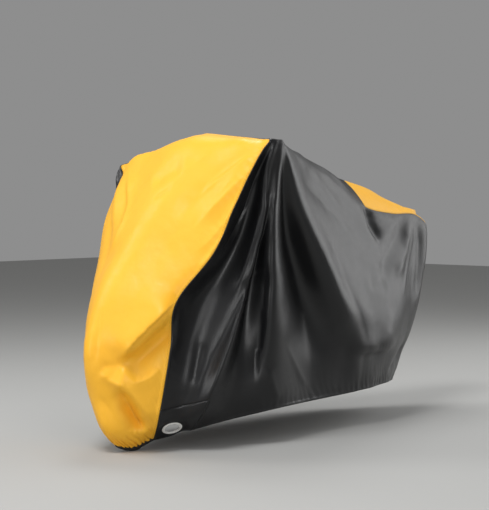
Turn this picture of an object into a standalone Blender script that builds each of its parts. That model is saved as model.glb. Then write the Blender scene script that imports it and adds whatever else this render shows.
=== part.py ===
"""Fitted motorcycle cover, draped, as four cloth panels with a lock eyelet at each side of the front foot.

Metres. -X is the front of the motorcycle, -Y its left side, +Z up.
The origin is on the underside of the top, on the centre plane, over the handlebars.
"""
import math

import bpy
import numpy as np

# sizes
SHEET = 0.0025          # thickness of the cloth as modelled
SEAM_GAP = 0.00018      # each panel stops this far short of the seam line
TOP = (0.0, 0.0, 1.2654)  # the origin, measured from the ground under the handlebars
HOLE_R = 0.0335         # hole in the lock strip
FLAT_R = 0.046          # the cloth is flat this far round the eyelet
BARREL_R = 0.0322       # outside of the eyelet's barrel
BORE_R = 0.0307         # inside of the eyelet
FLANGE_R = 0.042        # outside of the eyelet's flanges
EYE_SEGMENTS = 40

# heights along a fold line, from its head (1) to its foot at the hem (0)
LEVELS = (1.0, .97, .90, .79, .63, .47, .31, .16, .07, 0.0)

# Fold lines of the left side, front seam to tail. Each falls from the spine of the roof over
# the shoulder (its head) to the hem.
# name: spine x, spine z, head z, foot z, x at each level, y at each level
SIDE_LINES = {
    'seam':   (.030, 1.272, 1.232, .006,
               (-.062, -.095, -.138, -.197, -.273, -.398, -.417, -.430, -.422, -.362),
               (-.430, -.425, -.405, -.370, -.320, -.230, -.212, -.184, -.148, -.062)),
    'tuck':   (.045, 1.266, 1.234, .020,
               (-.048, -.066, -.074, -.080, -.115, -.220, -.290, -.330, -.342, -.302),
               (-.438, -.430, -.385, -.330, -.275, -.230, -.222, -.222, -.178, -.100)),
    'fold':   (.070, 1.260, 1.234, .050,
               (-.032, -.056, -.068, -.062, -.076, -.115, -.183, -.258, -.275, -.255),
               (-.440, -.445, -.420, -.390, -.370, -.348, -.335, -.310, -.265, -.185)),
    'cave':   (.100, 1.250, 1.232, .080,
               (-.018, -.034, -.040, -.034, -.030, -.040, -.075, -.118, -.133, -.135),
               (-.441, -.445, -.425, -.395, -.345, -.305, -.295, -.300, -.285, -.250)),
    'pole_a': (.140, 1.235, 1.232, .110,
               (-.002, -.010, -.014, -.016, -.018, -.014, -.008, .004, .008, .010),
               (-.442, -.447, -.437, -.425, -.410, -.400, -.385, -.362, -.350, -.330)),
    'valley': (.220, 1.212, 1.226, .120,
               (.018, .028, .056, .102, .198, .290, .350, .366, .355, .340),
               (-.435, -.435, -.410, -.370, -.310, -.285, -.290, -.305, -.308, -.310)),
    'pole_c': (.330, 1.184, 1.212, .125,
               (.050, .066, .096, .150, .254, .383, .516, .585, .596, .600),
               (-.422, -.424, -.418, -.400, -.385, -.372, -.360, -.335, -.320, -.300)),
    'plane_1': (.540, 1.152, 1.160, .130,
                (.400, .402, .408, .424, .474, .558, .660, .715, .725, .731),
                (-.252, -.270, -.292, -.320, -.348, -.358, -.356, -.325, -.310, -.290)),
    'plane_2': (.740, 1.126, 1.085, .130,
                (.700, .698, .696, .697, .707, .738, .798, .820, .830, .835),
                (-.175, -.192, -.215, -.245, -.290, -.322, -.330, -.302, -.288, -.270)),
    'seat':   (.967, 1.078, .955, .130,
               (.925, .930, .935, .938, .942, .945, .945, .932, .927, .920),
               (-.160, -.172, -.195, -.220, -.262, -.292, -.300, -.272, -.256, -.240)),
    'tail_1': (1.160, 1.036, .920, .128,
               (1.150, 1.147, 1.140, 1.130, 1.118, 1.103, 1.085, 1.060, 1.050, 1.040),
               (-.146, -.156, -.172, -.192, -.225, -.248, -.250, -.230, -.216, -.200)),
    'tail_2': (1.350, .966, .912, .122,
               (1.385, 1.378, 1.358, 1.328, 1.300, 1.270, 1.230, 1.175, 1.152, 1.130),
               (-.112, -.120, -.130, -.140, -.155, -.172, -.178, -.170, -.162, -.150)),
    'tail_3': (1.490, .942, .856, .118,
               (1.522, 1.525, 1.522, 1.512, 1.478, 1.436, 1.375, 1.295, 1.262, 1.235),
               (-.080, -.084, -.088, -.090, -.092, -.092, -.092, -.090, -.086, -.080)),
    'end':    (1.545, .932, .830, .115,
               (1.578, 1.582, 1.578, 1.562, 1.520, 1.470, 1.405, 1.325, 1.290, 1.260),
               (0, 0, 0, 0, 0, 0, 0, 0, .000, 0)),
}
# the right front seam: the right mirror sits lower than the left
RIGHT_SEAM = (1.137, .060,
              (-.058, -.072, -.126, -.203, -.285, -.388, -.420, -.424, -.418, -.368),
              (.440, .414, .396, .385, .342, .278, .230, .195, .155, .080))
# how much lower the head of each right-hand line is than its left-hand twin
RIGHT_DROP = (.095, .095, .093, .088, .080, .065, .045, .020, 0, 0, 0, 0, 0, 0)

# Fold lines of the front panel, left seam to right seam; the heads lie on the top seam.
# name: share of the way from the left shoulder (0) over the spine (1) to the right (2),
# brow height, foot z, x at each level below the head, y at each level below the head
FRONT_LINES = {
    'cheek_l': (.25, .028, -.012,
                (-.090, -.160, -.222, -.315, -.435, -.468, -.468, -.455, -.395),
                (-.335, -.325, -.305, -.265, -.205, -.175, -.150, -.105, -.045)),
    'brow_l':  (.50, .026, -.030,
                (-.080, -.172, -.255, -.370, -.505, -.560, -.540, -.515, -.425),
                (-.215, -.205, -.190, -.155, -.115, -.095, -.080, -.055, -.025)),
    'nose':    (1.0, .022, -.020,
                (-.070, -.185, -.290, -.425, -.565, -.640, -.600, -.575, -.485),
                (0, 0, 0, .020, .030, .020, .010, .000, .000)),
    'brow_r':  (1.5, .034, .000,
                (-.062, -.160, -.240, -.360, -.505, -.585, -.570, -.530, -.470),
                (.225, .225, .225, .215, .160, .110, .095, .080, .045)),
    'cheek_r': (1.75, .036, .045,
                (-.064, -.140, -.225, -.322, -.440, -.505, -.500, -.478, -.420),
                (.355, .347, .330, .292, .226, .175, .150, .125, .075)),
}

# Folds that run across the fold lines: path, push (out of the cloth for a ridge, into it for a
# trough), width on the side that cross(path, push) points to, width on the other side
FOLDS = (
    # front panel: edge from the right mirror to the nose, streaks from the left mirror
    (((-.07, .405, 1.13), (-.17, .325, .99), (-.29, .220, .88), (-.40, .17, .76)),
     (-.016, .006, .004), .035, .075),
    (((-.09, -.42, 1.19), (-.20, -.314, 1.03), (-.29, -.229, .89)), (-.009, -.005, .004), .035, .05),
    (((-.13, -.33, 1.17), (-.23, -.22, 1.02), (-.32, -.13, .90)), (.008, .004, -.003), .04, .05),
    # front panel: the flap that hangs over the foot, and the hollow under it
    (((-.375, -.25, .61), (-.452, -.193, .506), (-.512, -.14, .427), (-.585, -.07, .345)),
     (-.034, -.030, .0), .026, .10),
    (((-.400, -.232, .520), (-.482, -.166, .415), (-.552, -.10, .325)), (.026, .022, 0), .030, .034),
    (((-.60, -.04, .262), (-.541, -.098, .232), (-.491, -.126, .162), (-.43, -.120, .075)),
     (-.013, -.009, 0), .03, .05),
    (((-.565, -.08, .185), (-.515, -.10, .13), (-.475, -.09, .05)), (.013, .010, 0), .03, .03),
    # left side: pocket at the step from seat to tail, folds falling from the tail's corner
    (((.93, -.155, .96), (.928, -.196, .87), (.99, -.215, .79)), (0, .024, 0), .045, .028),
    (((1.335, -.124, .905), (1.12, -.195, .775), (.86, -.295, .60)), (0, .015, 0), .035, .045),
    (((1.335, -.124, .905), (1.225, -.17, .75), (1.05, -.25, .62)), (.003, -.014, 0), .030, .040),
    (((1.40, -.11, .89), (1.415, -.125, .765), (1.40, -.13, .66)), (-.004, .010, 0), .03, .03),
    # left side: the bulge line that the foot tucks under, and short creases by it
    (((.55, -.345, .330), (.76, -.325, .318), (1.06, -.25, .321)), (0, -.016, 0), .075, .035),
    (((.78, -.31, .605), (.94, -.28, .590)), (0, .009, 0), .03, .03),
    (((.86, -.30, .34), (.925, -.305, .44)), (0, -.008, 0), .03, .03),
    (((1.00, -.231, .18), (1.19, -.165, .249), (1.296, -.131, .31)), (0, .010, 0), .035, .035),
    (((.18, -.388, 1.093), (.415, -.31, 1.008), (.55, -.29, .92)), (0, .009, -.003), .04, .05),
    (((.13, -.386, 1.19), (.49, -.24, 1.12), (.73, -.20, 1.03)), (0, -.006, .004), .035, .045),
    # right side
    (((.06, .42, 1.08), (.22, .36, .80), (.42, .35, .45), (.46, .33, .2)), (0, -.020, 0), .06, .05),
    (((.72, .24, .98), (.62, .34, .60), (.58, .35, .28)), (0, .014, 0), .05, .06),
    (((.95, .18, .93), (.99, .24, .78), (1.10, .25, .66)), (0, -.016, 0), .04, .04),
    (((1.34, .124, .90), (1.16, .20, .70), (.90, .31, .47)), (0, .013, 0), .045, .035),
    (((.50, .35, .34), (.80, .33, .30), (1.04, .25, .33)), (0, .014, 0), .04, .07),
    (((-.12, .36, .80), (-.18, .33, .50), (-.22, .30, .22)), (0, .014, 0), .05, .05),
    (((1.10, .21, .16), (1.24, .14, .30), (1.33, .11, .46)), (0, -.009, 0), .04, .04),
)

SIDE_COLUMNS = (3, 3, 3, 2, 4, 3, 4, 4, 4, 4, 3, 3, 2)    # mesh columns between fold lines
ROOF_ROWS = (4, 3, 1)                                     # spine to shoulder
SIDE_ROWS = (2, 2, 2, 3, 3, 3, 3, 2)                       # shoulder to the lowest band
FOOT_STEPS = (.50, .82, 1.0)                              # lowest band, the last step is the hem
REAR_LINE = 9                                             # the rear panel starts at this line
LOCK_COLUMNS = (0, 6)                                     # mesh columns of the lock strip
LOCK_ROWS = 4                                             # mesh rows of the lock strip, from the hem
EYE_COLUMN, EYE_HEIGHT = .47, .50                         # eyelet's place in its strip
EYE_AXES = {'left': (-.19, -.71, -.68), 'right': (-.26, .64, -.72)}   # the way each eyelet faces

COLLECTION = 'motorcycle_cover'


def knots(points, axis):
    steps = np.linalg.norm(np.diff(points, axis=axis), axis=2).mean(axis=1 - axis)
    return np.concatenate([[0.0], np.cumsum(steps + 1e-6)])


def spline(points, at, where):
    """Smooth curve through points (first axis) with knots `at`, read at index positions `where`."""
    span = np.diff(at)
    wide = (-1,) + (1,) * (points.ndim - 1)
    slope = np.diff(points, axis=0) / span.reshape(wide)
    before, after = span[:-1].reshape(wide), span[1:].reshape(wide)
    tangent = np.empty_like(points)
    tangent[1:-1] = (slope[:-1] * after + slope[1:] * before) / (before + after)
    tangent[0], tangent[-1] = slope[0], slope[-1]
    i = np.clip(np.floor(where).astype(int), 0, len(at) - 2)
    f = (where - i).reshape(wide)
    h = span[i].reshape(wide)
    return ((2 * f**3 - 3 * f**2 + 1) * points[i] + (f**3 - 2 * f**2 + f) * h * tangent[i]
            + (-2 * f**3 + 3 * f**2) * points[i + 1] + (f**3 - f**2) * h * tangent[i + 1])


def surface(net, columns, rows):
    """Grid of points on the smooth surface through a net of control points."""
    along = spline(net, knots(net, 0), columns)
    down = spline(np.swapaxes(along, 0, 1), knots(net, 1), rows)
    return np.swapaxes(down, 0, 1)


def hull_net():
    """Control net of the body: left fold lines, then the right ones in reverse."""
    left = np.zeros((len(SIDE_LINES), 3 + len(LEVELS), 3))
    for i, (spine_x, spine_z, head, foot, xs, ys) in enumerate(SIDE_LINES.values()):
        left[i, 3:, 0], left[i, 3:, 1] = xs, ys
        left[i, 3:, 2] = foot + (head - foot) * np.array(LEVELS)
        left[i, 0] = (spine_x, 0, spine_z)
        left[i, 1] = left[i, 0] * .5 + left[i, 3] * .5
        left[i, 2] = left[i, 0] * .1 + left[i, 3] * .9
        left[i, 1, 2] += .010 if REAR_LINE <= i < 12 else 0
        left[i, 2, 2] += .004 if i > 4 else 0
    right = left.copy()
    right[..., 1] *= -1
    fade = np.array((0, .5, .9) + LEVELS)
    right[:, :, 2] -= np.array(RIGHT_DROP)[:, None] * fade[None]
    right[1:6, 3:6, 0] += np.array((.014, .013, .012, .010, .005))[:, None]
    right[1, 3:7, :2] = ((-.050, .446), (-.078, .446), (-.105, .423), (-.118, .372))
    head, foot, xs, ys = RIGHT_SEAM
    right[0, 3:, 0], right[0, 3:, 1] = xs, ys
    right[0, 3:, 2] = foot + (head - foot) * np.array(LEVELS)
    # the right side hangs more evenly than the left
    even = right.copy()
    even[1:-1, 5:] = right[1:-1, 5:] * .5 + (right[:-2, 5:] + right[2:, 5:]) * .25
    right[2:8] = even[2:8]
    return np.concatenate([left, right[-2::-1]])


def front_net(hull):
    """Control net of the front panel, left seam to right seam."""
    left, right = hull[0], hull[-1]
    net = np.zeros((len(FRONT_LINES) + 2, len(LEVELS), 3))
    net[0], net[-1] = left[3:], right[3:]
    for i, (share, brow, foot, xs, ys) in enumerate(FRONT_LINES.values(), start=1):
        head = left[3] * (1 - share) + left[0] * share if share <= 1 else \
            left[0] * (2 - share) + right[3] * (share - 1)
        net[i, 0] = head
        net[i, 1:, 0], net[i, 1:, 1] = xs, ys
        net[i, 1:, 2] = foot + (head[2] - foot) * np.array(LEVELS[1:])
        net[i, 1, 2] += brow
    return net


def pushed(points):
    """Points moved by the folds; depends on the place only, so shared seams stay shared."""
    flat = points.reshape(-1, 3)
    moved = flat.copy()
    for path, push, wide_a, wide_b in FOLDS:
        path, push = np.array(path), np.array(push)
        length = np.linalg.norm(np.diff(path, axis=0), axis=1)
        total, run = length.sum(), 0.0
        best = np.full(len(flat), 9.0)
        amount = np.zeros(len(flat))
        for a, b, size in zip(path[:-1], path[1:], length):
            t = np.clip((flat - a) @ (b - a) / size**2, 0, 1)
            away = flat - (a + t[:, None] * (b - a))
            gap = np.linalg.norm(away, axis=1)
            side = away @ np.cross(b - a, push)
            width = np.where(side > 0, wide_a, wide_b)
            share = (run + t * size) / total
            fade = np.clip(np.minimum(share, 1 - share) / .30, 0, 1)
            fade = fade * fade * (3 - 2 * fade)
            near = gap < best
            amount[near] = (fade * np.exp(-(gap / width)**2))[near]
            best[near] = gap[near]
            run += size
        moved += amount[:, None] * push
    return moved.reshape(points.shape)


def steps_between(counts):
    places = [i + k / n for i, n in enumerate(counts) for k in range(n)]
    return np.array(places + [float(len(counts))])


def rows_below(start):
    places = [start + i + k / n for i, n in enumerate(SIDE_ROWS) for k in range(n)]
    last = start + len(SIDE_ROWS)
    return np.array(places + [float(last)] + [last + s for s in FOOT_STEPS])


class Cloth:
    """All the outer faces of the cover, with points shared along the seams."""

    def __init__(self):
        self.points, self.index = [], {}
        self.faces = {}

    def point(self, p):
        key = tuple(int(round(c * 1e6)) for c in p)
        if key not in self.index:
            self.index[key] = len(self.points)
            self.points.append(np.array(p, float))
        return self.index[key]

    def add(self, piece, corners):
        self.faces.setdefault(piece, []).append(corners)

    def normals(self):
        total = np.zeros((len(self.points), 3))
        pts = np.array(self.points)
        for faces in self.faces.values():
            for face in faces:
                n = np.zeros(3)
                for one, other in zip(face[1:-1], face[2:]):
                    n += np.cross(pts[one] - pts[face[0]], pts[other] - pts[face[0]])
                for i in face:
                    total[i] += n
        return total / np.linalg.norm(total, axis=1, keepdims=True)


def lay_out():
    """Every quad of the cover by piece, plus the border and seat of each lock strip."""
    cloth = Cloth()
    net = hull_net()
    columns = steps_between(SIDE_COLUMNS + SIDE_COLUMNS[::-1])
    roof = steps_between(ROOF_ROWS)[:-1]
    rows = np.concatenate([roof, rows_below(3)])
    first = len(roof)
    hull = surface(net, columns, rows)
    half = len(columns) // 2
    for i in range(half):
        hull[len(columns) - 1 - i, 0] = hull[i, 0]
    hull = pushed(hull)
    last = len(rows) - 1
    far = len(columns) - 1
    ids = [[cloth.point(hull[i, j]) for j in range(last + 1)] for i in range(far + 1)]
    rear_from = sum(SIDE_COLUMNS[:REAR_LINE])
    for i in range(far):
        for j in range(last):
            mirror = min(i, far - 1 - i)
            side = 'left' if i < half else 'right'
            piece = 'panel_side_' + side
            if j < first and mirror >= rear_from:
                piece = 'panel_rear'
            if LOCK_COLUMNS[0] <= mirror < LOCK_COLUMNS[1] and j >= last - LOCK_ROWS:
                piece = 'lock_patch_' + side
            ring = (ids[i][j], ids[i][j + 1], ids[i + 1][j + 1], ids[i + 1][j])
            if j < first and mirror == 0:
                # the top seam has a point halfway along each mesh row, shared with the front panel
                seam = 0 if i == 0 else far
                halfway = cloth.point((hull[seam, j] + hull[seam, j + 1]) / 2)
                ring = (halfway,) + (ring[1:] + ring[:1] if i == 0 else ring[3:] + ring[:3])
            cloth.add(piece, ring)

    # front panel: twice as many columns as the roof has rows, half of them on the chords
    shares = []
    for j in range(first + 1):
        reach = np.linalg.norm(hull[0, j, :2] - hull[0, 0, :2])
        shares.append(1 - reach / np.linalg.norm(hull[0, first, :2] - hull[0, 0, :2]))
    left_half = shares[::-1]
    whole = left_half + [2 - s for s in shares[1:]]
    fine = []
    for a, b in zip(whole[:-1], whole[1:]):
        fine += [a, (a + b) / 2]
    fine.append(whole[-1])
    lines = [0.0] + [line[0] for line in FRONT_LINES.values()] + [2.0]
    at = np.interp(fine, lines, range(len(lines)))
    front = surface(front_net(net), at, rows_below(0))
    front = pushed(front)
    top_edge = [hull[0, j] for j in range(first, -1, -1)] + [hull[far, j] for j in range(1, first + 1)]
    edge = []
    for a, b in zip(top_edge[:-1], top_edge[1:]):
        edge += [a, (a + b) / 2]
    edge = np.array(edge + [top_edge[-1]])
    wide, tall = front.shape[0], front.shape[1]
    slack = edge - front[:, 0]
    for j in range(4):
        front[:, j] += slack * (1 - j / 4)**2
    for i, shift in ((0, hull[0, first:] - front[0]), (wide - 1, hull[far, first:] - front[-1])):
        for k in range(8):
            column = k if i == 0 else wide - 1 - k
            front[column] += shift * (1 - k / 8)**2
    front[:, 0] = edge
    front[0], front[-1] = hull[0, first:], hull[far, first:]
    spot = [[cloth.point(front[i, j]) for j in range(tall)] for i in range(wide)]
    for i in range(wide - 1):
        for j in range(tall - 1):
            piece = 'hem_band_front' if j == tall - 2 else 'panel_front'
            cloth.add(piece, (spot[i][j], spot[i + 1][j], spot[i + 1][j + 1], spot[i][j + 1]))

    strips = {}
    for side, lo, hi in (('left', LOCK_COLUMNS[0], LOCK_COLUMNS[1]),
                         ('right', far - LOCK_COLUMNS[1], far - LOCK_COLUMNS[0])):
        top = last - LOCK_ROWS
        border = [ids[i][top] for i in range(lo, hi)] + [ids[hi][j] for j in range(top, last)]
        border += [ids[i][last] for i in range(hi, lo, -1)] + [ids[lo][j] for j in range(last, top, -1)]
        share = EYE_COLUMN if side == 'left' else 1 - EYE_COLUMN
        column = lo + share * (hi - lo)
        row = last - EYE_HEIGHT * LOCK_ROWS
        grid = hull[lo:hi + 1, top:last + 1]
        u, v = column - lo, row - top
        i, j = int(u), int(v)
        fu, fv = u - i, v - j
        seat = (grid[i, j] * (1 - fu) * (1 - fv) + grid[i + 1, j] * fu * (1 - fv)
                + grid[i, j + 1] * (1 - fu) * fv + grid[i + 1, j + 1] * fu * fv)
        axis = np.array(EYE_AXES[side])
        strips[side] = (border, seat, axis / np.linalg.norm(axis))
    return cloth, strips


def pulled_back(points, faces):
    """Where each border point goes when the piece stops short of its seams."""
    owner = {}
    for face in faces:
        for a, b in zip(face, face[1:] + face[:1]):
            owner.setdefault((min(a, b), max(a, b)), []).append(face)
    inward = {}
    for (a, b), users in owner.items():
        if len(users) != 1:
            continue
        face = users[0]
        middle = (points[a] + points[b]) / 2
        along = (points[b] - points[a]) / np.linalg.norm(points[b] - points[a])
        normal = np.cross(points[face[2]] - points[face[0]], points[face[3]] - points[face[1]])
        into = np.cross(normal / np.linalg.norm(normal), along)
        if into @ (np.mean([points[i] for i in face], axis=0) - middle) < 0:
            into = -into
        inward.setdefault(a, []).append(into)
        inward.setdefault(b, []).append(into)
    moved = {}
    for i, ways in inward.items():
        way = np.sum(ways, axis=0)
        way /= np.linalg.norm(way)
        moved[i] = points[i] + way * SEAM_GAP / max(way @ ways[0], .6)
    borders = [edge for edge, users in owner.items() if len(users) == 1]
    return moved, borders


def make_object(name, points, faces, material, collection):
    mesh = bpy.data.meshes.new(name)
    mesh.from_pydata([tuple(p - np.array(TOP)) for p in points], [], faces)
    mesh.update()
    mesh.materials.append(material)
    obj = bpy.data.objects.new(name, mesh)
    collection.objects.link(obj)
    return obj


def rim(x, y, count, rising):
    """The edge between two outer points and the inner points under them; neighbours split it alike."""
    if rising:
        return [(y, x, x + count), (y, x + count, y + count)]
    return [(y, x, y + count), (x, x + count, y + count)]


def panel(name, cloth, points, normals, material, collection):
    """A cloth piece with real thickness from its quads."""
    faces = cloth.faces[name]
    moved, borders = pulled_back(points, faces)
    used = sorted({i for face in faces for i in face})
    place = {i: n for n, i in enumerate(used)}
    outer = [moved.get(i, points[i]) for i in used]
    inner = [p - normals[i] * SHEET for p, i in zip(outer, used)]
    count = len(used)
    skin = []
    for face in faces:
        corners = [place[i] for i in face]
        a, b, c, d = corners[:4]
        if len(corners) == 5:
            parts = ((a, b, c), (a, c, d), (a, d, corners[4]))
        elif np.linalg.norm(outer[a] - outer[c]) <= np.linalg.norm(outer[b] - outer[d]):
            parts = ((a, b, c), (a, c, d))
        else:
            parts = ((a, b, d), (b, c, d))
        for x, y, z in parts:
            skin.append((x, y, z))
            skin.append((z + count, y + count, x + count))
    border = set(borders)
    for face in faces:
        for a, b in zip(face, face[1:] + face[:1]):
            if (min(a, b), max(a, b)) in border:
                x, y = place[a], place[b]
                skin += rim(x, y, count, a < b)
    return make_object(name, outer + inner, skin, material, collection)


def lock_strip(name, cloth, strip, points, normals, material, collection):
    """The strip round an eyelet: flat near the hole, meeting its neighbours at the border."""
    border, seat, axis = strip
    moved, _ = pulled_back(points, cloth.faces[name])
    ring, lean = [], []
    for a, b in zip(border, border[1:] + border[:1]):
        ring += [moved[a], (moved[a] + moved[b]) / 2]
        lean += [normals[a], normals[a] + normals[b]]
    lean = [n / np.linalg.norm(n) for n in lean]
    loops = []
    for radius in (HOLE_R, FLAT_R):
        loop = []
        for p in ring:
            away = p - seat
            away = away - axis * (away @ axis)
            loop.append(seat + away / np.linalg.norm(away) * radius)
        loops.append(loop)
    count = len(ring)
    outer = loops[0] + loops[1] + ring
    facing = [axis] * (2 * count) + lean
    inner = [p - n * SHEET for p, n in zip(outer, facing)]
    total = len(outer)
    skin = []
    for k in range(count):
        n = (k + 1) % count
        for base in (0, count):
            a, b, c, d = base + k, base + n, base + count + n, base + count + k
            for x, y, z in ((a, b, c), (a, c, d)):
                skin.append((x, y, z))
                skin.append((z + total, y + total, x + total))
        a, b = k, n
        skin.append((b, a, a + total))
        skin.append((b, a + total, b + total))
        a, b = 2 * count + k, 2 * count + n
        skin.append((a, b, b + total))
        skin.append((a, b + total, a + total))
    across = np.cross(outer[1] - outer[0], outer[count] - outer[0])
    if across @ axis > 0:
        skin = [face[::-1] for face in skin]
    skin = [face[::-1] for face in skin]
    return make_object(name, outer + inner, skin, material, collection)


def eyelet(name, strip, material, collection):
    """A two-flange ring gripping the strip, turned round the hole's axis."""
    _, seat, axis = strip
    gap, flange = .0004, .0022
    low = -SHEET
    section = ((BORE_R, flange - .0006), (BORE_R + .0012, flange), (FLANGE_R - .0010, flange),
               (FLANGE_R, flange - .0006), (FLANGE_R, gap), (BARREL_R, gap),
               (BARREL_R, low - gap), (FLANGE_R, low - gap), (FLANGE_R, low - flange + .0006),
               (FLANGE_R - .0010, low - flange), (BORE_R + .0012, low - flange),
               (BORE_R, low - flange + .0006))
    side = np.cross(axis, (0, 0, 1))
    side /= np.linalg.norm(side)
    other = np.cross(axis, side)
    points, skin = [], []
    for k in range(EYE_SEGMENTS):
        turn = 2 * math.pi * k / EYE_SEGMENTS
        out = side * math.cos(turn) + other * math.sin(turn)
        points += [seat + out * r + axis * h for r, h in section]
    size = len(section)
    for k in range(EYE_SEGMENTS):
        n = (k + 1) % EYE_SEGMENTS
        for s in range(size):
            t = (s + 1) % size
            a, b, c, d = k * size + s, n * size + s, n * size + t, k * size + t
            skin += [(c, b, a), (d, c, a)]
    return make_object(name, points, skin, material, collection)


def make_material(name, rgb, roughness, metallic):
    linear = [((c / 255 + .055) / 1.055)**2.4 for c in rgb]
    material = bpy.data.materials.new(name)
    material.use_nodes = True
    shader = material.node_tree.nodes['Principled BSDF']
    shader.inputs['Base Color'].default_value = (*linear, 1)
    shader.inputs['Roughness'].default_value = roughness
    shader.inputs['Metallic'].default_value = metallic
    return material


def build():
    for old in list(bpy.data.objects):
        bpy.data.objects.remove(old, do_unlink=True)
    collection = bpy.data.collections.new(COLLECTION)
    bpy.context.scene.collection.children.link(collection)
    cloth, strips = lay_out()
    points, normals = np.array(cloth.points), cloth.normals()
    yellow, black = (240, 182, 58), (30, 31, 33)
    colours = {'panel_front': yellow, 'panel_rear': yellow, 'panel_side_left': black,
               'panel_side_right': black, 'hem_band_front': (24, 24, 26)}
    for name, rgb in colours.items():
        panel(name, cloth, points, normals, make_material(name, rgb, .42, 0), collection)
    for side, strip in strips.items():
        patch = 'lock_patch_' + side
        lock_strip(patch, cloth, strip, points, normals, make_material(patch, black, .42, 0), collection)
        ring = 'eyelet_' + side
        eyelet(ring, strip, make_material(ring, (222, 222, 220), .3, .9), collection)


build()
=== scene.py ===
# Fitted motorcycle cover hanging over its machine: yellow front and tail, black sides,
# a metal lock eyelet by the front hem on each side. Metres, -X is the front, +Z is up.
import math
import bmesh
import bpy
import numpy as np
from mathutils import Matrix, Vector, noise


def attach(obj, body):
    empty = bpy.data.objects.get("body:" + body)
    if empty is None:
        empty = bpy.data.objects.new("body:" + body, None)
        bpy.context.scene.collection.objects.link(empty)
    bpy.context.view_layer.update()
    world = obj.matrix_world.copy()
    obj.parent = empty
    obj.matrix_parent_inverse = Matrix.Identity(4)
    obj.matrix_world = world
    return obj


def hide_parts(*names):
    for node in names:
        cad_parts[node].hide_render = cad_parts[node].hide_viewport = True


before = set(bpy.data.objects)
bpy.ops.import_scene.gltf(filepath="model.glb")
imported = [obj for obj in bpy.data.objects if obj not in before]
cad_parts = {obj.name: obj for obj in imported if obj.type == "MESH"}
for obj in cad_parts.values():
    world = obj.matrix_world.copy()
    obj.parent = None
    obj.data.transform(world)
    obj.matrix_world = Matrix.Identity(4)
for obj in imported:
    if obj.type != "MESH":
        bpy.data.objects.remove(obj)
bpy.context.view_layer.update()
print("frame loaded")

topPoint = np.array((0.0, 0.0, 1.2654))   # the tables below are measured from the ground

# heights along a fold line, from its head at the shoulder (1) to its foot at the hem (0)
levels = (1.0, .97, .90, .79, .63, .47, .31, .16, .07, 0.0)
roofShares = (0, .5, .9)    # the rows from the spine to the shoulder
shoulderRow = len(roofShares)
hemRow = shoulderRow + len(levels) - 1

# fold lines of the left side: spine x, spine z, head z, foot z, x at each level, y at each level
sideLines = {
    'seam': (.030, 1.272, 1.232, .006,
        (-.062, -.095, -.138, -.197, -.273, -.398, -.417, -.430, -.422, -.362),
        (-.430, -.425, -.405, -.370, -.320, -.230, -.212, -.184, -.148, -.062)),
    'tuck': (.045, 1.266, 1.234, .020,
        (-.048, -.066, -.074, -.080, -.115, -.220, -.290, -.330, -.342, -.302),
        (-.438, -.430, -.385, -.330, -.275, -.230, -.222, -.222, -.178, -.100)),
    'fold': (.070, 1.260, 1.234, .050,
        (-.032, -.056, -.068, -.062, -.076, -.115, -.183, -.258, -.275, -.255),
        (-.440, -.445, -.420, -.390, -.370, -.348, -.335, -.310, -.265, -.185)),
    'cave': (.100, 1.250, 1.232, .080,
        (-.018, -.034, -.040, -.034, -.030, -.040, -.075, -.118, -.133, -.135),
        (-.441, -.445, -.425, -.395, -.345, -.305, -.295, -.300, -.285, -.250)),
    'nearPole': (.140, 1.235, 1.232, .110,
        (-.002, -.010, -.014, -.016, -.018, -.014, -.008, .004, .008, .010),
        (-.442, -.447, -.437, -.425, -.410, -.400, -.385, -.362, -.350, -.330)),
    'valley': (.220, 1.212, 1.226, .120,
        (.018, .028, .056, .102, .198, .290, .350, .366, .355, .340),
        (-.435, -.435, -.410, -.370, -.310, -.285, -.290, -.305, -.308, -.310)),
    'farPole': (.330, 1.184, 1.212, .125,
        (.050, .066, .096, .148, .243, .350, .462, .530, .552, .565),
        (-.422, -.424, -.418, -.400, -.385, -.372, -.360, -.335, -.320, -.300)),
    'flank': (.540, 1.152, 1.160, .130,
        (.400, .402, .408, .424, .474, .558, .660, .715, .725, .731),
        (-.252, -.270, -.292, -.320, -.348, -.358, -.356, -.325, -.310, -.290)),
    'waist': (.740, 1.126, 1.085, .130,
        (.700, .698, .696, .697, .707, .738, .798, .820, .830, .835),
        (-.175, -.192, -.215, -.245, -.290, -.322, -.330, -.302, -.288, -.270)),
    'seat': (.967, 1.078, .955, .130,
        (.925, .930, .935, .938, .942, .945, .945, .932, .927, .920),
        (-.160, -.172, -.195, -.220, -.262, -.292, -.300, -.272, -.256, -.240)),
    'tailStep': (1.160, 1.036, .920, .128,
        (1.150, 1.147, 1.140, 1.130, 1.118, 1.103, 1.085, 1.060, 1.050, 1.040),
        (-.146, -.156, -.172, -.192, -.225, -.248, -.250, -.230, -.216, -.200)),
    'tailSide': (1.350, .966, .912, .122,
        (1.385, 1.378, 1.358, 1.328, 1.300, 1.270, 1.230, 1.175, 1.152, 1.130),
        (-.112, -.120, -.130, -.140, -.155, -.172, -.178, -.170, -.162, -.150)),
    'tailEdge': (1.490, .942, .856, .118,
        (1.522, 1.525, 1.522, 1.512, 1.478, 1.436, 1.375, 1.295, 1.262, 1.235),
        (-.080, -.084, -.088, -.090, -.092, -.092, -.092, -.090, -.086, -.080)),
    'tailEnd': (1.545, .932, .830, .115,
        (1.578, 1.582, 1.578, 1.562, 1.520, 1.470, 1.405, 1.325, 1.290, 1.260),
        (0,) * len(levels)),
}
lineCount = len(sideLines)
tailLine = lineCount - 1    # down the tail's end
farLine = 2 * tailLine      # the right front seam
rearLine = 9                # the tail panel starts at this fold line
lockLine = 2                # the lock patch ends at this fold line
lockTop = 10.5              # and starts at this row
fineLine = 6                # the mesh is finer before this one
crownEnd, tailCrown = 12, .010        # the tail's top is fuller up to this line, by this much
liftLine, shoulderLift = 4, .004      # and the shoulder behind this one

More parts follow.
